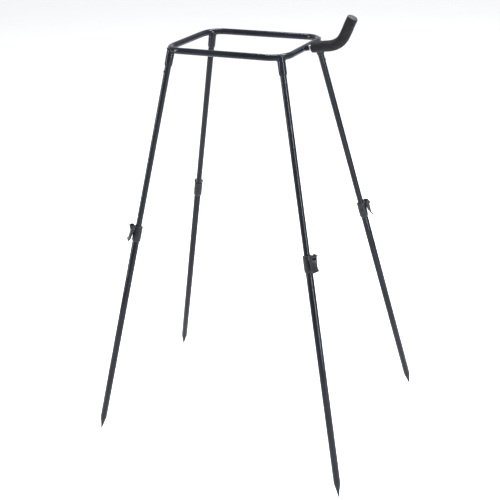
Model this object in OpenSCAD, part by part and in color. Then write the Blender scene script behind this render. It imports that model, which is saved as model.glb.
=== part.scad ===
// Four-legged telescopic stand with an open tube hoop and a foam-covered swivel arm.
// Origin on the floor under the centre of the hoop, +Z up, +Y to the rear, millimetres.

/* [Hoop] */
// Half width of the hoop along X, to the tube centreline
hoop_half_x = 164; // [120:1:200]
// Half depth of the hoop along Y, to the tube centreline
hoop_half_y = 120.5; // [90:0.5:180]
// Bend radius of the hoop corners, to the tube centreline
hoop_bend_r = 46; // [30:1:70]
// Height of the hoop centreline above the floor
hoop_height = 1085; // [800:1:1300]
// Outside radius of the hoop tube
hoop_tube_r = 8; // [6:0.5:12]
// Wall thickness of the hoop tube
hoop_wall = 1.5; // [1:0.1:3]

/* [Legs] */
// Sideways lean of a leg per millimetre of drop
lean_x = 0.2044; // [0.1:0.0001:0.3]
// Front-to-back lean of a leg per millimetre of drop
lean_y = 0.1699; // [0.1:0.0001:0.3]
// Extra sideways lean of the rear left leg
rear_left_extra_x = 0.0230; // [-0.05:0.0001:0.08]
// Extra front-to-back lean of the rear left leg
rear_left_extra_y = -0.0638; // [-0.08:0.0001:0.05]
// Outside radius of the upper tubes
upper_r = 8; // [6:0.5:12]
// Bore radius of the upper tubes
upper_bore_r = 6.7; // [5:0.1:10]
// Outside radius of the lower tubes
lower_r = 9.5; // [7.5:0.5:14]
// Bore radius of the lower tubes
lower_bore_r = 8.3; // [6.3:0.1:12]
// Radius of the turned-down seat for the collar at the top of the lower tubes
seat_r = 9.3; // [9:0.1:13]
// Distance along the leg from its tip to the top of the collar
collar_top = 642; // [500:1:700]
// Overlap of upper and lower tube below the top of the collar
tube_overlap = 82; // [40:1:160]
// Outside radius of the leg sockets under the hoop
socket_r = 10; // [9.5:0.5:14]
// Length of the leg sockets below the hoop centreline
socket_len = 43; // [30:1:60]
// Distance of the snap button below the hoop centreline
button_drop = 59; // [50:1:90]
// Radius of the snap button
button_r = 3; // [2:0.5:4]
// Length of the pointed foot below the tube end
spike_len = 42; // [25:1:60]
// Radius of the blunt end of the pointed foot
spike_tip_r = 1.2; // [0.8:0.1:3]

/* [Clamps] */
// Outside radius of the clamp collar
collar_r = 12; // [11:0.5:16]
// Height of the clamp collar
collar_h = 42; // [30:1:60]
// Height of the closing throat at the top of the collar
throat_h = 10; // [6:1:20]
// Width of the slit in the collar
slit_w = 3; // [2:0.5:5]
// Distance of the lever pin from the leg axis
pin_out = 15.5; // [14:0.5:22]
// Radius of the lever pin
pin_r = 2; // [1.5:0.1:3]
// Outside width of the lever
lever_w = 22.6; // [20:0.2:30]
// Thickness of one lever cheek
cheek_t = 3; // [2:0.5:5]

/* [Arm] */
// Rise of the arm stud above horizontal, degrees
arm_rise = 8; // [0:1:20]
// Length of the arm before its bend, from the hoop centreline
arm_run = 68; // [55:1:120]
// Bend radius of the arm, to the tube centreline
arm_bend_r = 50; // [35:1:90]
// Rise of the arm tail per millimetre of its length, before the stud's own rise
tail_rise = 0.8432; // [0.28:0.0001:0.96]
// Length of the arm after its bend
arm_tail = 44; // [20:1:120]
// Outside radius of the arm tube
arm_r = 6; // [5:0.5:9]
// Outside radius of the foam sleeve
foam_r = 13.5; // [10:0.5:18]
// Radius of the stud the arm turns on
stud_r = 5; // [3:0.5:6]

/* [Hidden] */
$fn = 64;
arm_bend = atan2(tail_rise, sqrt(1 - tail_rise * tail_rise));
pin_drop = 3;
pin_z = collar_top - pin_drop;
ear_r = 3.6;
hub_r = 6;
nose_r = 2.4;
turn_fr = 27;
turn_rl = -37;
cap_t = 4;
foam_start = 20;
boss_end = 14;
nut_start = 14.4;
nut_end = 19;
running = 0.3;
dir_rl_x = lean_x + rear_left_extra_x;
dir_rl_y = lean_y + rear_left_extra_y;
corner_in = hoop_bend_r * (1 - cos(45));
top_x = hoop_half_x - corner_in;
top_y = hoop_half_y - corner_in;
leg_stretch = sqrt(1 + lean_x * lean_x + lean_y * lean_y);
rl_stretch = sqrt(1 + dir_rl_x * dir_rl_x + dir_rl_y * dir_rl_y);
foot_r = spike_tip_r;

// Rounded-rectangle ring of round section with radius r.
module ring_path(r) {
  for (s = [-1, 1]) {
    translate([-(hoop_half_x - hoop_bend_r), s * hoop_half_y, hoop_height])
      rotate([0, 90, 0]) cylinder(r = r, h = 2 * (hoop_half_x - hoop_bend_r));
    translate([s * hoop_half_x, -(hoop_half_y - hoop_bend_r), hoop_height])
      rotate([-90, 0, 0]) cylinder(r = r, h = 2 * (hoop_half_y - hoop_bend_r));
    for (t = [-1, 1])
      translate([s * (hoop_half_x - hoop_bend_r), t * (hoop_half_y - hoop_bend_r), hoop_height])
        intersection() {
          rotate_extrude() translate([hoop_bend_r, 0]) circle(r = r);
          translate([s > 0 ? 0 : -2 * hoop_bend_r, t > 0 ? 0 : -2 * hoop_bend_r, -2 * r])
            cube([2 * hoop_bend_r, 2 * hoop_bend_r, 4 * r]);
        }
  }
}

// Leg frame: origin at the foot tip, +Z up the leg, -X facing away from the hoop centre.
module leg_frame(sx, sy, dx, dy) {
  translate([sx * (top_x + dx * hoop_height), sy * (top_y + dy * hoop_height), 0])
    rotate([0, atan(sqrt(dx * dx + dy * dy)), atan2(-sy * dy, -sx * dx)])
      children();
}

// Arm frame: origin on the right bar of the hoop, +X out along the stud.
module arm_frame() {
  translate([hoop_half_x, 0, hoop_height]) rotate([0, -arm_rise, 0]) children();
}

module tube(ro, ri, z0, z1) {
  translate([0, 0, z0]) difference() {
    cylinder(r = ro, h = z1 - z0);
    translate([0, 0, -1]) cylinder(r = ri, h = z1 - z0 + 2);
  }
}

// Tube of radii ro and ri following the arm centreline from x0 to the end of the tail.
module arm_shell(ro, ri, x0) {
  rotate([0, 90, 0]) tube(ro, ri, x0, arm_run);
  translate([arm_run, 0, arm_bend_r]) intersection() {
    rotate([90, 0, 0]) rotate_extrude() translate([arm_bend_r, 0]) difference() {
      circle(r = ro);
      circle(r = ri);
    }
    translate([0, -2 * ro, -2 * arm_bend_r]) cube([2 * arm_bend_r, 4 * ro, 2 * arm_bend_r]);
    rotate([0, -arm_bend, 0]) translate([-2 * arm_bend_r, -2 * ro, -2 * arm_bend_r])
      cube([2 * arm_bend_r, 4 * ro, 3 * arm_bend_r]);
  }
  arm_end_frame() rotate([0, 90, 0]) tube(ro, ri, 0, arm_tail);
}

// Frame at the end of the arm bend, +X along the tail.
module arm_end_frame() {
  translate([arm_run, 0, arm_bend_r]) rotate([0, -arm_bend, 0]) translate([0, 0, -arm_bend_r]) children();
}

module top_hoop() {
  color([0.06, 0.06, 0.07]) difference() {
    ring_path(hoop_tube_r);
    ring_path(hoop_tube_r - hoop_wall);
  }
}

module socket(len) {
  color([0.06, 0.06, 0.07]) difference() {
    union() {
      translate([0, 0, len - socket_len]) cylinder(r1 = upper_r + 0.8, r2 = socket_r, h = 4);
      translate([0, 0, len - socket_len + 4]) cylinder(r = socket_r, h = socket_len - 4);
    }
    translate([0, 0, len - socket_len - 1]) cylinder(r = upper_r, h = socket_len - 9);
  }
}

module upper_tube(len) {
  color([0.05, 0.05, 0.06]) tube(upper_r, upper_bore_r, collar_top - tube_overlap, len - 11);
}

module bush() {
  color([0.2, 0.2, 0.2]) {
    translate([0, 0, collar_top - tube_overlap - 8]) cylinder(r = upper_r, h = 8);
    translate([0, 0, collar_top - tube_overlap]) cylinder(r = upper_bore_r, h = 15);
  }
}

module button(len) {
  color([0.35, 0.35, 0.36]) difference() {
    translate([-upper_r - 1.4, 0, len - button_drop]) rotate([0, 90, 0]) cylinder(r = button_r, h = 2.6);
    translate([0, 0, len - button_drop - 6]) cylinder(r = upper_r, h = 12);
  }
}

module lower_tube() {
  seat_z = collar_top - collar_h;
  color([0.05, 0.05, 0.06]) difference() {
    union() {
      translate([0, 0, spike_len]) cylinder(r = lower_r, h = seat_z - spike_len);
      translate([0, 0, seat_z]) cylinder(r = seat_r, h = collar_h - throat_h);
    }
    translate([0, 0, spike_len - 1]) cylinder(r = lower_bore_r, h = collar_top);
  }
}

module foot_spike() {
  color([0.1, 0.1, 0.1]) {
    translate([0, 0, foot_r]) sphere(r = foot_r);
    translate([0, 0, foot_r]) cylinder(r1 = foot_r, r2 = lower_r, h = spike_len - foot_r);
    translate([0, 0, spike_len]) cylinder(r = lower_bore_r, h = 20);
  }
}

module ear_profile() {
  translate([-pin_out, pin_z]) circle(r = ear_r);
  polygon([[-10, pin_z - 14], [-10, pin_z + 3], [-pin_out, pin_z + ear_r],
    [-pin_out - 2.5, pin_z - 2.6], [-pin_out + 3.5, pin_z - 12]]);
}

module collar() {
  color([0.08, 0.08, 0.08]) difference() {
    union() {
      translate([0, 0, collar_top - collar_h]) cylinder(r1 = collar_r - 1.5, r2 = collar_r, h = 3);
      translate([0, 0, collar_top - collar_h + 3]) cylinder(r = collar_r, h = collar_h - 15);
      translate([0, 0, collar_top - 12]) cylinder(r = collar_r - 0.7, h = 1.4);
      translate([0, 0, collar_top - 10.6]) cylinder(r = collar_r, h = 10.6);
      for (s = [-1, 1]) translate([0, s * 5.5 + 2, 0]) rotate([90, 0, 0])
        linear_extrude(height = 4) ear_profile();
    }
    translate([0, 0, collar_top - collar_h - 1]) cylinder(r = seat_r, h = collar_h - throat_h + 1);
    translate([0, 0, collar_top - throat_h - 1]) cylinder(r = lower_bore_r, h = throat_h + 2);
    translate([-collar_r - 1, -slit_w / 2, collar_top - 26]) cube([collar_r, slit_w, 27]);
    translate([-pin_out, 20, pin_z]) rotate([90, 0, 0]) cylinder(r = pin_r, h = 40);
  }
}

module cheek_profile() {
  translate([-pin_out, pin_z]) {
    circle(r = hub_r);
    polygon([[3, -4], [-6, 0], [-5.2, -7], [-4.5, -14], [-4.5, -30], [-8.5, -38], [-5.8, -38.6],
      [-1, -31], [1.5, -16]]);
  }
}

module plate_profile() {
  translate([-pin_out, pin_z])
    polygon([[-1.7, -7], [-5.2, -7], [-4.5, -14], [-4.5, -30], [-8.5, -38], [-5.8, -38.6], [-2, -31]]);
}

module nose_profile() {
  translate([-pin_out - 6.6, pin_z + 1.2]) circle(r = nose_r);
}

module lever() {
  color([0.1, 0.1, 0.11]) difference() {
    union() {
      for (s = [-1, 1]) translate([0, s * (lever_w - cheek_t) / 2 + cheek_t / 2, 0])
        rotate([90, 0, 0]) linear_extrude(height = cheek_t) cheek_profile();
      translate([0, lever_w / 2, 0]) rotate([90, 0, 0])
        linear_extrude(height = lever_w) plate_profile();
      translate([0, lever_w / 2, 0]) rotate([90, 0, 0])
        linear_extrude(height = lever_w) nose_profile();
    }
    translate([-pin_out, 20, pin_z]) rotate([90, 0, 0]) cylinder(r = pin_r + running, h = 40);
  }
}

module pin() {
  color([0.6, 0.6, 0.62]) translate([-pin_out, 0, pin_z]) rotate([90, 0, 0]) {
    translate([0, 0, -lever_w / 2 - 1.8]) cylinder(r = pin_r, h = lever_w + 3.6);
    for (s = [0, 1]) mirror([0, 0, s]) translate([0, 0, lever_w / 2 + running])
      cylinder(r = 3.4, h = 1.5);
  }
}

module arm_boss() {
  color([0.06, 0.06, 0.07]) difference() {
    arm_frame() difference() {
      translate([4, 0, 0]) rotate([0, 90, 0]) cylinder(r = 7.5, h = boss_end - 4);
      translate([0, 0, 0]) rotate([0, 90, 0]) cylinder(r = stud_r + running, h = 30);
    }
    ring_path(hoop_tube_r);
  }
}

module arm_stud() {
  color([0.6, 0.6, 0.62]) arm_frame() translate([9.2, 0, 0]) rotate([0, 90, 0])
    cylinder(r = stud_r, h = 32);
}

module arm_nut() {
  color([0.5, 0.5, 0.52]) arm_frame() translate([nut_start, 0, 0]) rotate([0, 90, 0]) difference() {
    cylinder(r = 7.4, h = nut_end - nut_start, $fn = 6);
    translate([0, 0, -1]) cylinder(r = stud_r, h = 20);
  }
}

module arm_tube() {
  color([0.06, 0.06, 0.07]) arm_frame() arm_shell(arm_r, stud_r, nut_end);
}

module arm_foam() {
  color([0.04, 0.04, 0.04]) arm_frame() arm_shell(foam_r, arm_r, foam_start);
}

module arm_end_cap() {
  color([0.12, 0.12, 0.13]) arm_frame() arm_end_frame() translate([arm_tail, 0, 0]) rotate([0, 90, 0]) {
    cylinder(r = foam_r - 1, h = cap_t - 1.5);
    translate([0, 0, cap_t - 1.5]) cylinder(r1 = foam_r - 1, r2 = foam_r - 3, h = 1.5);
    translate([0, 0, -14]) cylinder(r = stud_r, h = 14);
  }
}

// Places a leg piece on one corner; the rear left corner has its own lean.
module at_leg(sx, sy, turn = 0) {
  if (sx < 0 && sy > 0) leg_frame(sx, sy, dir_rl_x, dir_rl_y) rotate([0, 0, turn]) children();
  else leg_frame(sx, sy, lean_x, lean_y) rotate([0, 0, turn]) children();
}

module leg_socket_fl() {
  difference() {
    at_leg(-1, -1) socket(hoop_height * leg_stretch);
    ring_path(hoop_tube_r);
  }
}

module leg_socket_fr() {
  difference() {
    at_leg(1, -1) socket(hoop_height * leg_stretch);
    ring_path(hoop_tube_r);
  }
}

module leg_socket_rl() {
  difference() {
    at_leg(-1, 1) socket(hoop_height * rl_stretch);
    ring_path(hoop_tube_r);
  }
}

module leg_socket_rr() {
  difference() {
    at_leg(1, 1) socket(hoop_height * leg_stretch);
    ring_path(hoop_tube_r);
  }
}

module upper_leg_fl() {
  at_leg(-1, -1) upper_tube(hoop_height * leg_stretch);
}

module upper_leg_fr() {
  at_leg(1, -1) upper_tube(hoop_height * leg_stretch);
}

module upper_leg_rl() {
  at_leg(-1, 1) upper_tube(hoop_height * rl_stretch);
}

module upper_leg_rr() {
  at_leg(1, 1) upper_tube(hoop_height * leg_stretch);
}

module guide_bush_fl() {
  at_leg(-1, -1) bush();
}

module guide_bush_fr() {
  at_leg(1, -1) bush();
}

module guide_bush_rl() {
  at_leg(-1, 1) bush();
}

module guide_bush_rr() {
  at_leg(1, 1) bush();
}

module snap_button_fl() {
  at_leg(-1, -1) button(hoop_height * leg_stretch);
}

module snap_button_fr() {
  at_leg(1, -1) button(hoop_height * leg_stretch);
}

module snap_button_rl() {
  at_leg(-1, 1) button(hoop_height * rl_stretch);
}

module snap_button_rr() {
  at_leg(1, 1) button(hoop_height * leg_stretch);
}

module lower_leg_fl() {
  at_leg(-1, -1) lower_tube();
}

module lower_leg_fr() {
  at_leg(1, -1) lower_tube();
}

module lower_leg_rl() {
  at_leg(-1, 1) lower_tube();
}

module lower_leg_rr() {
  at_leg(1, 1) lower_tube();
}

module spike_fl() {
  at_leg(-1, -1) foot_spike();
}

module spike_fr() {
  at_leg(1, -1) foot_spike();
}

module spike_rl() {
  at_leg(-1, 1) foot_spike();
}

module spike_rr() {
  at_leg(1, 1) foot_spike();
}

module clamp_collar_fl() {
  at_leg(-1, -1) collar();
}

module clamp_collar_fr() {
  at_leg(1, -1, turn_fr) collar();
}

module clamp_collar_rl() {
  at_leg(-1, 1, turn_rl) collar();
}

module clamp_collar_rr() {
  at_leg(1, 1) collar();
}

module clamp_lever_fl() {
  at_leg(-1, -1) lever();
}

module clamp_lever_fr() {
  at_leg(1, -1, turn_fr) lever();
}

module clamp_lever_rl() {
  at_leg(-1, 1, turn_rl) lever();
}

module clamp_lever_rr() {
  at_leg(1, 1) lever();
}

module lever_pin_fl() {
  at_leg(-1, -1) pin();
}

module lever_pin_fr() {
  at_leg(1, -1, turn_fr) pin();
}

module lever_pin_rl() {
  at_leg(-1, 1, turn_rl) pin();
}

module lever_pin_rr() {
  at_leg(1, 1) pin();
}

top_hoop();
arm_boss();
arm_stud();
arm_nut();
arm_tube();
arm_foam();
arm_end_cap();
leg_socket_fl();
leg_socket_fr();
leg_socket_rl();
leg_socket_rr();
upper_leg_fl();
upper_leg_fr();
upper_leg_rl();
upper_leg_rr();
guide_bush_fl();
guide_bush_fr();
guide_bush_rl();
guide_bush_rr();
snap_button_fl();
snap_button_fr();
snap_button_rl();
snap_button_rr();
lower_leg_fl();
lower_leg_fr();
lower_leg_rl();
lower_leg_rr();
spike_fl();
spike_fr();
spike_rl();
spike_rr();
clamp_collar_fl();
clamp_collar_fr();
clamp_collar_rl();
clamp_collar_rr();
clamp_lever_fl();
clamp_lever_fr();
clamp_lever_rl();
clamp_lever_rr();
lever_pin_fl();
lever_pin_fr();
lever_pin_rl();
lever_pin_rr();
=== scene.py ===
"""Telescopic hoop stand: looks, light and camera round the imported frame. Metres, +Z up."""
import math

import bmesh
import bpy
from mathutils import Matrix, Vector


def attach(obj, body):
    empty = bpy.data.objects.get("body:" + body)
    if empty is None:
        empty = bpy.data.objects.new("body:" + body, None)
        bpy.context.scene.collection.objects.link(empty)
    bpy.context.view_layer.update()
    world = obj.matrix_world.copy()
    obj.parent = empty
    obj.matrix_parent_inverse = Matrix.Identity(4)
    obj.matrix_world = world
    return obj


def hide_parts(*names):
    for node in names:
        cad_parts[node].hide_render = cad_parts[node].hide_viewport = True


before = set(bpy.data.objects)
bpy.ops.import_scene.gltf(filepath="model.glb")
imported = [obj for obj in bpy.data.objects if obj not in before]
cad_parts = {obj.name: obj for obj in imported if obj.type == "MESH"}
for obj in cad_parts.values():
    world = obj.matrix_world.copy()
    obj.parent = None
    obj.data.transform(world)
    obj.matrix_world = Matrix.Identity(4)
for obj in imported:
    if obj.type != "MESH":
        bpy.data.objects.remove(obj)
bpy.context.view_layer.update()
MM = 0.001

# Dimensions shared with the CAD source, in millimetres and degrees
HOOP_X, HOOP_Y, HOOP_BEND, HOOP_Z, HOOP_R = 164.0, 120.5, 46.0, 1085.0, 8.0
UPPER_R, LOWER_R, LOWER_BORE_R, SOCKET_R = 8.0, 9.5, 8.3, 10.0
BUTTON_DROP, SPIKE_LEN = 59.0, 42.0
COLLAR_TOP, PIN_OUT, LEVER_W = 642.0, 15.5, 22.6
PIN_Z = COLLAR_TOP - 3.0
ARM_RISE, ARM_RUN, ARM_BEND_R, ARM_BEND, ARM_TAIL = 8.0, 68.0, 50.0, 57.48, 44.0
ARM_R, FOAM_R, FOAM_START, BOSS_R = 6.0, 13.5, 20.0, 7.5
ARM_ARC = ARM_BEND_R * math.radians(ARM_BEND)
ARM_LENGTH = ARM_RUN + ARM_ARC + ARM_TAIL

# Sideways lean of a leg per unit of height; the rear left leg has its own extra
LEAN_X, LEAN_Y = 0.2044, 0.1699
REAR_LEFT_X, REAR_LEFT_Y = 0.0230, -0.0638
CLAMP_TURN = {"fr": 27.0, "rl": -37.0}
LEGS = {"fl": (-1, -1), "fr": (1, -1), "rl": (-1, 1), "rr": (1, 1)}

# Details that only the visual model has, in millimetres
AXIS_R = 0.02
SOCKET_BEAD_R, BOSS_BEAD_R, BEAD_RIPPLE, BEAD_RIPPLES, BEAD_SIDES = 1.3, 1.0, 0.16, 22, 10
SOCKET_BEAD_GAP, SOCKET_BEAD_REACH, BOSS_BEAD_GAP, BOSS_BEAD_START = 0.5, 30.0, 0.4, 4.0
CONE_START, CONE_R, CONE_GROWTH, CONE_RISE, CONE_RINGS = 1.2, 1.15, 8.2, 38.8, 12
GRIPS, GRIP_R, GRIP_DROP, GRIP_PITCH, GRIP_OUT, GRIP_INSET = 5, 0.7, 15.5, 3.2, 4.4, 2.4
FOAM_SKIN, FOAM_ROUND, FOAM_WAVE, FOAM_CREASE, FOAM_CREASES = 0.1, 2.2, 0.12, 0.45, 5
FOAM_RINGS, FOAM_SIDES = 90, 64

# Looks: linear colours, and how far the drawn lines are stretched along Z
ENAMEL_DARK, ENAMEL_LIGHT, ENAMEL_TUBE = (0.003, 0.004, 0.007), (0.006, 0.008, 0.013), (0.006, 0.008, 0.012)
LINE_STRETCH = (1.0, 1.0, 0.02)

# Camera, matched to the photo, and studio; metres and degrees
CAMERA_YAW, CAMERA_PITCH, CAMERA_ROLL = -27.89, -24.81, -2.48
CAMERA_AT = (1.0727, -2.0459, 1.5817)
LENS_MM, SENSOR_MM = 66.07, 36.0
LIGHT_AIM = (0, 0, 0.8)
FLOOR_R = 60.0


# ---------------------------------------------------------------- materials
def link(tree, a, b):
    tree.links.new(a, b)


def noise(tree, vec, scale, detail=3.0, rough=0.5):
    n = tree.nodes.new("ShaderNodeTexNoise")
    n.inputs["Scale"].default_value = scale
    n.inputs["Detail"].default_value = detail
    n.inputs["Roughness"].default_value = rough
    link(tree, vec, n.inputs["Vector"])
    return n.outputs["Fac"]


def ramp(tree, fac, stops):
    """Grey levels between (position, level) stops."""
    r = tree.nodes.new("ShaderNodeValToRGB")
    link(tree, fac, r.inputs["Fac"])
    e = r.color_ramp.elements
    while len(e) < len(stops):
        e.new(0.5)
    for el, (p, c) in zip(e, stops):
        el.position = p
        el.color = (c, c, c, 1)
    return r.outputs["Color"]


def span(tree, fac, a, b, lo, hi):
    """Maps fac from the range a..b to lo..hi."""
    m = tree.nodes.new("ShaderNodeMapRange")
    link(tree, fac, m.inputs["Value"])
    for k, v in (("From Min", a), ("From Max", b), ("To Min", lo), ("To Max", hi)):
        m.inputs[k].default_value = v
    return m.outputs["Result"]


def mix(tree, fac, a, b):
    """Blends colours a and b, each a tuple or a socket."""
    m = tree.nodes.new("ShaderNodeMix")
    m.data_type = "RGBA"
    link(tree, fac, m.inputs["Factor"])
    for sock, v in ((m.inputs[6], a), (m.inputs[7], b)):
        if isinstance(v, tuple):
            sock.default_value = (*v, 1)
        else:
            link(tree, v, sock)
    return m.outputs[2]


def bump(tree, height, strength, distance, normal=None):
    b = tree.nodes.new("ShaderNodeBump")
    b.inputs["Strength"].default_value = strength
    b.inputs["Distance"].default_value = distance
    link(tree, height, b.inputs["Height"])
    if normal is not None:
        link(tree, normal, b.inputs["Normal"])
    return b.outputs["Normal"]


def new_material(name, scale=None, rot=None):
    """Gives the material, its tree and shader, plain coordinates and the same ones scaled."""
    mat = bpy.data.materials.new(name)
    mat.use_nodes = True
    tree = mat.node_tree
    shader = tree.nodes["Principled BSDF"]
    coord = tree.nodes.new("ShaderNodeTexCoord")
    vec = coord.outputs["Object"]
    if rot is not None:
        m = tree.nodes.new("ShaderNodeMapping")
        m.inputs["Rotation"].default_value = rot
        link(tree, vec, m.inputs["Vector"])
        vec = m.outputs["Vector"]
    long_vec = vec
    if scale is not None:
        m = tree.nodes.new("ShaderNodeMapping")
        m.inputs["Scale"].default_value = scale
        link(tree, vec, m.inputs["Vector"])
        long_vec = m.outputs["Vector"]
    return mat, tree, shader, vec, long_vec


def enamel(name, dark, light, rot=None, rub=0.0):
    """Gloss black coating on tube: orange peel, faint drawn lines, dust and rub marks."""
    mat, t, s, vec, line_vec = new_material(name, LINE_STRETCH, rot)
    tone = mix(t, span(t, noise(t, vec, 14, 4), 0.35, 0.7, 0, 1), dark, light)
    specks = ramp(t, noise(t, vec, 700, 2, 0.6), [(0.66, 0.0), (0.74, 1.0)])
    tone = mix(t, span(t, specks, 0, 1, 0, 0.08), tone, (0.05, 0.053, 0.06))
    lines = noise(t, line_vec, 1500, 2, 0.7)
    if rub:
        mask = ramp(t, lines, [(0.6, 0.0), (0.72, 1.0)])
        tone = mix(t, span(t, mask, 0, 1, 0, rub), tone, (0.06, 0.06, 0.066))
    link(t, tone, s.inputs["Base Color"])
    link(t, span(t, noise(t, vec, 45, 5, 0.6), 0.3, 0.7, 0.13, 0.22), s.inputs["Roughness"])
    n = bump(t, noise(t, vec, 420, 2), 0.03, 0.0004)
    n = bump(t, lines, 0.02, 0.0002, n)
    link(t, n, s.inputs["Normal"])
    s.inputs["Specular IOR Level"].default_value = 0.13
    s.inputs["Coat Weight"].default_value = 0.04
    s.inputs["Coat Roughness"].default_value = 0.12
    return mat


def plastic(name, dark, light, rough, grain):
    """Moulded plastic with a fine texture and slightly greyer worn spots."""
    mat, t, s, vec, _ = new_material(name)
    wear = span(t, noise(t, vec, 90, 6, 0.65), 0.45, 0.75, 0, 0.8)
    link(t, mix(t, wear, dark, light), s.inputs["Base Color"])
    link(t, span(t, noise(t, vec, 160, 4), 0.3, 0.7, rough - 0.07, rough + 0.09), s.inputs["Roughness"])
    link(t, bump(t, noise(t, vec, grain, 3, 0.6), 0.35, 0.0003), s.inputs["Normal"])
    s.inputs["Specular IOR Level"].default_value = 0.18
    return mat


def foam_material(name):
    """Closed-cell foam: tiny cells with painted shade in their pits, soft mottling, no gloss."""
    mat, t, s, vec, _ = new_material(name)
    cells = t.nodes.new("ShaderNodeTexVoronoi")
    cells.inputs["Scale"].default_value = 1150
    link(t, vec, cells.inputs["Vector"])
    soft = noise(t, vec, 60, 5, 0.6)
    tone = mix(t, span(t, soft, 0.35, 0.7, 0, 1), (0.004, 0.004, 0.005), (0.010, 0.010, 0.012))
    # Painted shade: the colour is darkened at the cell centres, where the bump sinks into pits
    pit_shade = ramp(t, cells.outputs["Distance"], [(0.12, 1.0), (0.4, 0.0)])
    tone = mix(t, span(t, pit_shade, 0, 1, 0, 0.7), tone, (0.004, 0.004, 0.004))
    link(t, tone, s.inputs["Base Color"])
    link(t, span(t, soft, 0.3, 0.7, 0.8, 0.95), s.inputs["Roughness"])
    n = bump(t, cells.outputs["Distance"], 0.5, 0.0006)
    n = bump(t, soft, 0.35, 0.0012, n)
    link(t, n, s.inputs["Normal"])
    s.inputs["Specular IOR Level"].default_value = 0.08
    s.inputs["Sheen Weight"].default_value = 0.04
    s.inputs["Sheen Roughness"].default_value = 0.6
    return mat


def metal(name, dark, light, rough, grain):
    """Dull machined metal with fine scratches."""
    mat, t, s, vec, _ = new_material(name)
    scratches = noise(t, vec, grain, 5, 0.7)
    link(t, mix(t, span(t, scratches, 0.35, 0.65, 0, 1), dark, light), s.inputs["Base Color"])
    link(t, span(t, noise(t, vec, 200, 4), 0.3, 0.7, rough - 0.08, rough + 0.1), s.inputs["Roughness"])
    link(t, bump(t, scratches, 0.2, 0.0003), s.inputs["Normal"])
    s.inputs["Metallic"].default_value = 1.0
    return mat


# ---------------------------------------------------------------- frames
def leg_matrix(key):
    """Foot-tip frame of a leg and its length in mm: +Z up the leg, -X away from the hoop centre."""
    sx, sy = LEGS[key]
    dx, dy = LEAN_X, LEAN_Y
    if key == "rl":
        dx, dy = dx + REAR_LEFT_X, dy + REAR_LEFT_Y
    inset = HOOP_BEND * (1 - math.cos(math.pi / 4))
    top = Vector((sx * (HOOP_X - inset), sy * (HOOP_Y - inset), HOOP_Z))
    foot = top + Vector((sx * dx, sy * dy, -1)) * HOOP_Z
    turn = Matrix.Rotation(math.atan2(-sy * dy, -sx * dx), 4, "Z")
    tilt = Matrix.Rotation(math.atan(math.hypot(dx, dy)), 4, "Y")
    length = HOOP_Z * math.sqrt(1 + dx * dx + dy * dy)
    return Matrix.Translation(foot * MM) @ turn @ tilt, length


def arm_matrix():
    """Frame of the arm: origin on the hoop's centreline, +X along the arm's straight run."""
    place = Matrix.Translation(Vector((HOOP_X, 0, HOOP_Z)) * MM)
    return place @ Matrix.Rotation(math.radians(-ARM_RISE), 4, "Y")


def arm_point(s):
    """Point and direction of the arm centreline in the arm frame, s in mm from the hoop."""
    if s <= ARM_RUN:
        return Vector((s, 0, 0)), Vector((1, 0, 0))
    a = min(s - ARM_RUN, ARM_ARC) / ARM_BEND_R
    d = Vector((math.cos(a), 0, math.sin(a)))
    p = Vector((ARM_RUN + ARM_BEND_R * math.sin(a), 0, ARM_BEND_R * (1 - math.cos(a))))
    return p + d * max(0.0, s - ARM_RUN - ARM_ARC), d


def hoop_distance(p):
    """Distance in mm from a point to the hoop centreline."""
    ax, ay = abs(p.x), abs(p.y)
    cx, cy = HOOP_X - HOOP_BEND, HOOP_Y - HOOP_BEND
    if ax > cx and ay > cy:
        flat = abs(math.hypot(ax - cx, ay - cy) - HOOP_BEND)
    elif ax > cx:
        flat = abs(ax - HOOP_X)
    else:
        flat = abs(ay - HOOP_Y)
    return math.hypot(flat, p.z - HOOP_Z)


# ---------------------------------------------------------------- mesh helpers
def circle(count):
    """Angles spaced evenly over one turn."""
    return [2 * math.pi * i / count for i in range(count)]


def shift(x, y, z):
    """Translation given in mm."""
    return Matrix.Translation(Vector((x, y, z)) * MM)


def finish_object(name, bm, mat, matrix=None, sharp=35.0):
    bmesh.ops.recalc_face_normals(bm, faces=bm.faces)
    if matrix is not None:
        bm.transform(matrix)
    mesh = bpy.data.meshes.new(name)
    bm.to_mesh(mesh)
    bm.free()
    mesh.shade_smooth()
    mesh.set_sharp_from_angle(angle=math.radians(sharp))
    mesh.materials.append(mat)
    obj = bpy.data.objects.new(name, mesh)
    bpy.context.scene.collection.objects.link(obj)
    return obj


def rings_to_mesh(rings, closed=False):
    """Skins a row of rings; closed joins the last ring to the first, otherwise the ends are capped."""
    bm = bmesh.new()
    grid = [[bm.verts.new(p) for p in ring] for ring in rings]
    n = len(grid[0])
    pairs = list(zip(grid, grid[1:]))
    if closed:
        pairs.append((grid[-1], grid[0]))
    for a, b in pairs:
        for i in range(n):
            bm.faces.new((a[i], a[(i + 1) % n], b[(i + 1) % n], b[i]))
    if not closed:
        bm.faces.new(grid[0])
        bm.faces.new(grid[-1])
    return bm


def lathe(name, profile, matrix, mat, segs=56, closed=False):
    """Turns (radius, height) points in mm about Z; closed joins the last point to the first."""
    rings = []
    for r, z in profile:
        rings.append([Vector((r * math.cos(a), r * math.sin(a), z)) * MM for a in circle(segs)])
    return finish_object(name, rings_to_mesh(rings, closed), mat, matrix)


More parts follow.
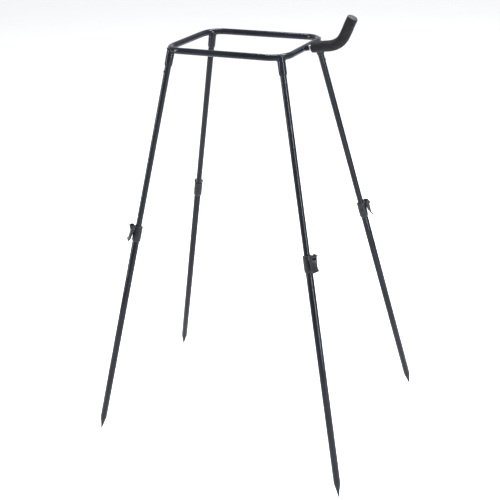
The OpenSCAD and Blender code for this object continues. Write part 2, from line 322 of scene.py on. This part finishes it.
def bead(name, path, radius, mat):
    """Weld bead: a closed ripple-surfaced ring along points in mm."""
    n = len(path)
    rings = []
    for i, p in enumerate(path):
        d = (path[(i + 1) % n] - path[i - 1]).normalized()
        steep = abs(d.z) >= 0.95
        side = (d.orthogonal() if steep else Vector((0, 0, 1)).cross(d)).normalized()
        up = d.cross(side).normalized()
        r = radius * (1 + BEAD_RIPPLE * math.cos(2 * math.pi * BEAD_RIPPLES * i / n))
        ring = [(p + (side * math.cos(a) + up * math.sin(a)) * r) * MM for a in circle(BEAD_SIDES)]
        rings.append(ring)
    return finish_object(name, rings_to_mesh(rings, True), mat, sharp=80)


def carry(node, mat, bevel=0.0):
    """Gives a carried-over CAD node its material, smooth shading and edges softened by bevel mm."""
    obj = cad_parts[node]
    obj.data.materials.clear()
    obj.data.materials.append(mat)
    obj.data.shade_smooth()
    obj.data.set_sharp_from_angle(angle=math.radians(30))
    if bevel:
        weld = obj.modifiers.new("weld", "WELD")
        weld.merge_threshold = 0.00001
        edge = obj.modifiers.new("edge", "BEVEL")
        edge.width = bevel * MM
        edge.segments = 2
        edge.limit_method = "ANGLE"
        edge.angle_limit = math.radians(40)


def own(piece, body, slot, *nodes):
    """Puts a new piece on its body and hides the CAD nodes that it replaces. The slot argument is not used.
    """
    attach(piece, body)
    if nodes:
        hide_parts(*nodes)


# ---------------------------------------------------------------- camera and studio
def make_camera():
    yaw, pitch, roll = (math.radians(a) for a in (CAMERA_YAW, CAMERA_PITCH, CAMERA_ROLL))
    look = Vector((math.sin(yaw) * math.cos(pitch), math.cos(yaw) * math.cos(pitch), math.sin(pitch)))
    level_right = look.cross(Vector((0, 0, 1))).normalized()
    level_up = level_right.cross(look)
    right = level_right * math.cos(roll) + level_up * math.sin(roll)
    up = level_up * math.cos(roll) - level_right * math.sin(roll)
    matrix = Matrix((right, up, -look)).transposed().to_4x4()
    matrix.translation = Vector(CAMERA_AT)
    data = bpy.data.cameras.new("camera")
    data.sensor_width = SENSOR_MM
    data.lens = LENS_MM
    data.clip_end = 200.0
    cam = bpy.data.objects.new("camera", data)
    cam.matrix_world = matrix
    bpy.context.scene.collection.objects.link(cam)
    bpy.context.scene.camera = cam


def area(name, loc, size, size_y, power):
    """Rectangular light at loc, aimed at the middle of the stand."""
    data = bpy.data.lights.new(name, "AREA")
    data.shape = "RECTANGLE"
    data.size, data.size_y, data.energy = size, size_y, power
    obj = bpy.data.objects.new(name, data)
    obj.location = loc
    obj.rotation_euler = (Vector(LIGHT_AIM) - Vector(loc)).to_track_quat("-Z", "Y").to_euler()
    bpy.context.scene.collection.objects.link(obj)


def make_studio():
    """White floor and surroundings, one light overhead and a tall strip on each side."""
    scene = bpy.context.scene
    scene.view_settings.view_transform = "Standard"
    world = bpy.data.worlds.new("studio")
    world.use_nodes = True
    world.node_tree.nodes["Background"].inputs["Color"].default_value = (0.97, 0.98, 1.0, 1)
    world.node_tree.nodes["Background"].inputs["Strength"].default_value = 0.92
    scene.world = world
    area("overhead", (0.1, 0.9, 3.4), 2.4, 0.35, 150)
    area("left_strip", (-2.3, -1.9, 1.6), 0.22, 2.6, 110)
    area("right_strip", (2.9, -1.2, 1.6), 0.22, 2.6, 170)
    bm = bmesh.new()
    bmesh.ops.create_circle(bm, cap_ends=True, radius=FLOOR_R, segments=96)
    mat, t, s, vec, _ = new_material("floor")
    tone = mix(t, noise(t, vec, 3, 2), (0.955, 0.955, 0.955), (0.985, 0.985, 0.985))
    link(t, tone, s.inputs["Base Color"])
    s.inputs["Roughness"].default_value = 0.85
    finish_object("floor", bm, mat)


def make_materials():
    return {
        "hoop": enamel("hoop_enamel", ENAMEL_DARK, ENAMEL_LIGHT),
        "spike": plastic("spike_coat", (0.005, 0.006, 0.008), (0.012, 0.013, 0.016), 0.30, 900),
        "collar": plastic("collar_plastic", (0.005, 0.006, 0.008), (0.012, 0.014, 0.018), 0.36, 1400),
        "lever": plastic("lever_plastic", (0.006, 0.007, 0.009), (0.014, 0.016, 0.020), 0.26, 1000),
        "bush": plastic("bush_plastic", (0.04, 0.04, 0.04), (0.07, 0.07, 0.07), 0.5, 900),
        "steel": metal("dull_steel", (0.30, 0.30, 0.32), (0.48, 0.48, 0.50), 0.34, 500),
        "button": metal("dark_steel", (0.015, 0.016, 0.018), (0.045, 0.046, 0.05), 0.36, 500),
        "foam": foam_material("foam"),
        "cap": plastic("cap_plastic", (0.03, 0.03, 0.033), (0.075, 0.076, 0.08), 0.4, 800),
    }


# ---------------------------------------------------------------- legs
def carry_leg(key, m, mats):
    """Looks of the leg's CAD nodes; each tube's lines are turned by the leg's negated angles."""
    back = tuple(-a for a in m.to_euler())
    upper = enamel("upper_" + key, ENAMEL_DARK, ENAMEL_TUBE, back, 0.15)
    lower = enamel("lower_" + key, ENAMEL_DARK, ENAMEL_LIGHT, back, 0.08)
    carry("leg_socket_" + key, mats["hoop"], 0.7)
    carry("upper_leg_" + key, upper)
    carry("guide_bush_" + key, mats["bush"])
    carry("lower_leg_" + key, lower, 0.3)
    carry("clamp_collar_" + key, mats["collar"], 0.7)
    carry("clamp_lever_" + key, mats["lever"], 0.7)


def socket_weld(key, m, length, mat):
    """Bead where the socket meets the underside of the hoop."""
    path = []
    for a in circle(96):
        z = length - SOCKET_BEAD_REACH
        while True:
            p = m @ (Vector((SOCKET_R * math.cos(a), SOCKET_R * math.sin(a), z)) * MM) / MM
            if hoop_distance(p) < HOOP_R + SOCKET_BEAD_GAP or z >= length - SOCKET_BEAD_GAP:
                break
            z += 0.1
        path.append(p)
    own(bead("socket_weld_" + key, path, SOCKET_BEAD_R, mat), "frame", "black_steel")


def spike(key, m, mat):
    """Pointed foot with a shoulder groove, and its spigot up the tube."""
    tip = [(AXIS_R, 0.0), (0.8, 0.35), (1.2, CONE_START)]
    steps = [t / CONE_RINGS for t in range(1, CONE_RINGS)]
    cone = [(CONE_R + CONE_GROWTH * t, CONE_START + CONE_RISE * t) for t in steps]
    groove = [(8.8, 38.6), (8.6, 39.0), (8.2, 39.3), (8.2, 40.1), (8.8, 40.5), (9.2, 41.1)]
    shoulder = [(LOWER_R - 0.1, SPIKE_LEN - 0.1), (LOWER_R - 0.1, SPIKE_LEN)]
    spigot = [(LOWER_BORE_R, SPIKE_LEN), (LOWER_BORE_R, SPIKE_LEN + 18.5)]
    end = [(LOWER_BORE_R - 0.7, SPIKE_LEN + 20), (AXIS_R, SPIKE_LEN + 20)]
    piece = lathe("point_" + key, tip + cone + groove + shoulder + spigot + end, m, mat)
    own(piece, "leg_" + key, "spike_metal", "spike_" + key)


def button(key, m, length, mat):
    """Domed snap button standing out of the upper tube."""
    lay = m @ shift(-UPPER_R, 0, length - BUTTON_DROP) @ Matrix.Rotation(-math.pi / 2, 4, "Y")
    dome = [(AXIS_R, 1.4), (1.2, 1.3), (2.1, 1.0), (2.7, 0.5), (3.0, -0.1), (3.0, -0.7), (AXIS_R, -0.7)]
    own(lathe("button_" + key, dome, lay, mat, 32), "frame", "button_steel", "snap_button_" + key)


def rivet(key, clamp, mat):
    """Lever pin with a domed head at each end."""
    half = LEVER_W / 2
    lay = clamp @ shift(-PIN_OUT, 0, PIN_Z) @ Matrix.Rotation(math.pi / 2, 4, "X")
    dome = [(AXIS_R, 1.8), (1.6, 1.7), (2.7, 1.3), (3.4, 0.7), (3.4, 0.3), (2.0, 0.3)]
    head = [(r, half + z) for r, z in dome]
    profile = head + [(r, -z) for r, z in reversed(head)]
    own(lathe("rivet_" + key, profile, lay, mat, 32), "leg_" + key, "button_steel", "lever_pin_" + key)


def wiper_ring(key, m, mat):
    """Ring in the mouth of the collar, round the upper tube."""
    section = [(8.3, -1.2), (8.3, 0.5), (8.8, 1.1), (9.6, 1.0), (10.2, 0.4), (10.2, -0.4)]
    ring = [(r, COLLAR_TOP + z) for r, z in section]
    own(lathe("wiper_ring_" + key, ring, m, mat, closed=True), "leg_" + key, "bush_plastic")


def grips(key, clamp, mat):
    """Ridges across the back of the lever, thinner at their ends."""
    side = LEVER_W / 2 - GRIP_INSET
    for j in range(GRIPS):
        z = PIN_Z - GRIP_DROP - GRIP_PITCH * j
        start, stop = Vector((-PIN_OUT - GRIP_OUT, -side, z)), Vector((-PIN_OUT - GRIP_OUT, side, z))
        rings = []
        for q, k in ((0.0, 0.2), (0.04, 0.8), (0.1, 1.0), (0.9, 1.0), (0.96, 0.8), (1.0, 0.2)):
            c = start.lerp(stop, q)
            ring = [(c + Vector((math.cos(a), 0, math.sin(a))) * GRIP_R * k) * MM for a in circle(12)]
            rings.append(ring)
        ridge = finish_object(f"grip_{j}_{key}", rings_to_mesh(rings), mat, clamp)
        own(ridge, "lever_" + key, "lever_plastic")


def make_leg(key, mats):
    m, length = leg_matrix(key)
    clamp = m @ Matrix.Rotation(math.radians(CLAMP_TURN.get(key, 0.0)), 4, "Z")
    carry_leg(key, m, mats)
    socket_weld(key, m, length, mats["hoop"])
    spike(key, m, mats["spike"])
    button(key, m, length, mats["button"])
    rivet(key, clamp, mats["button"])
    wiper_ring(key, m, mats["bush"])
    grips(key, clamp, mats["lever"])


# ---------------------------------------------------------------- arm
def foam_radius(s):
    """Radius of the sleeve at s, rounded over at both ends."""
    edge = min(s - FOAM_START, ARM_LENGTH - s)
    r = FOAM_R - FOAM_SKIN
    if edge < FOAM_ROUND:
        r -= FOAM_ROUND - math.sqrt(max(0.0, FOAM_ROUND ** 2 - (FOAM_ROUND - edge) ** 2))
    return r


def foam_crease(s):
    """Depth of the creases on the inside of the bend, none outside it."""
    part = (s - ARM_RUN) / ARM_ARC
    if not 0 < part < 1:
        return 0.0
    return FOAM_CREASE * math.sin(math.pi * part) * (0.5 + 0.5 * math.cos(2 * math.pi * FOAM_CREASES * part))


def foam_sleeve(am, mat):
    """Hollow foam tube along the arm, slightly uneven and creased at the bend."""
    outer, inner = [], []
    for i in range(FOAM_RINGS + 1):
        s = FOAM_START + (ARM_LENGTH - FOAM_START) * i / FOAM_RINGS
        p, d = arm_point(s)
        up, side = Vector((-d.z, 0, d.x)), Vector((0, 1, 0))
        ring_out, ring_in = [], []
        for a in circle(FOAM_SIDES):
            spoke = up * math.cos(a) + side * math.sin(a)
            r = foam_radius(s) - foam_crease(s) * max(0.0, math.cos(a)) ** 2
            r -= FOAM_WAVE * (1 + math.sin(s * 0.21 + 3 * a))
            ring_out.append((p + spoke * r) * MM)
            ring_in.append((p + spoke * ARM_R) * MM)
        outer.append(ring_out)
        inner.append(ring_in)
    sleeve = finish_object("foam_sleeve", rings_to_mesh(outer + inner[::-1], True), mat, am, 60)
    own(sleeve, "arm", "foam", "arm_foam")


def end_plug(am, mat):
    """Low cap over the end of the sleeve, with a stem in the tube."""
    p, _ = arm_point(ARM_LENGTH)
    lay = am @ shift(*p) @ Matrix.Rotation(math.pi / 2 - math.radians(ARM_BEND), 4, "Y")
    face = [(AXIS_R, 3.6), (4.0, 3.6), (4.6, 3.2), (8.2, 3.2)]
    rim = [(10.4, 2.7), (11.7, 1.9), (12.4, 0.9), (12.5, 0.05)]
    stem = [(5.0, 0.05), (5.0, -13.0), (AXIS_R, -14.0)]
    own(lathe("end_plug", face + rim + stem, lay, mat), "arm", "cap_plastic", "arm_end_cap")


def boss_weld(am, mat):
    """Bead where the arm's boss meets the hoop."""
    path = []
    for a in circle(72):
        x = BOSS_BEAD_START
        while True:
            q = am @ (Vector((x, BOSS_R * math.cos(a), BOSS_R * math.sin(a))) * MM) / MM
            if hoop_distance(q) > HOOP_R + BOSS_BEAD_GAP:
                break
            x += 0.05
        path.append(q)
    own(bead("boss_weld", path, BOSS_BEAD_R, mat), "frame", "black_steel")


def make_arm(mats):
    am = arm_matrix()
    carry("arm_tube", enamel("arm_enamel", ENAMEL_DARK, ENAMEL_TUBE))
    foam_sleeve(am, mats["foam"])
    end_plug(am, mats["cap"])
    boss_weld(am, mats["hoop"])


def build():
    mats = make_materials()
    carry("top_hoop", mats["hoop"])
    carry("arm_boss", mats["hoop"], 0.5)
    carry("arm_stud", mats["steel"], 0.3)
    carry("arm_nut", mats["steel"], 0.5)
    for key in LEGS:
        make_leg(key, mats)
    make_arm(mats)


make_camera()
make_studio()
build()
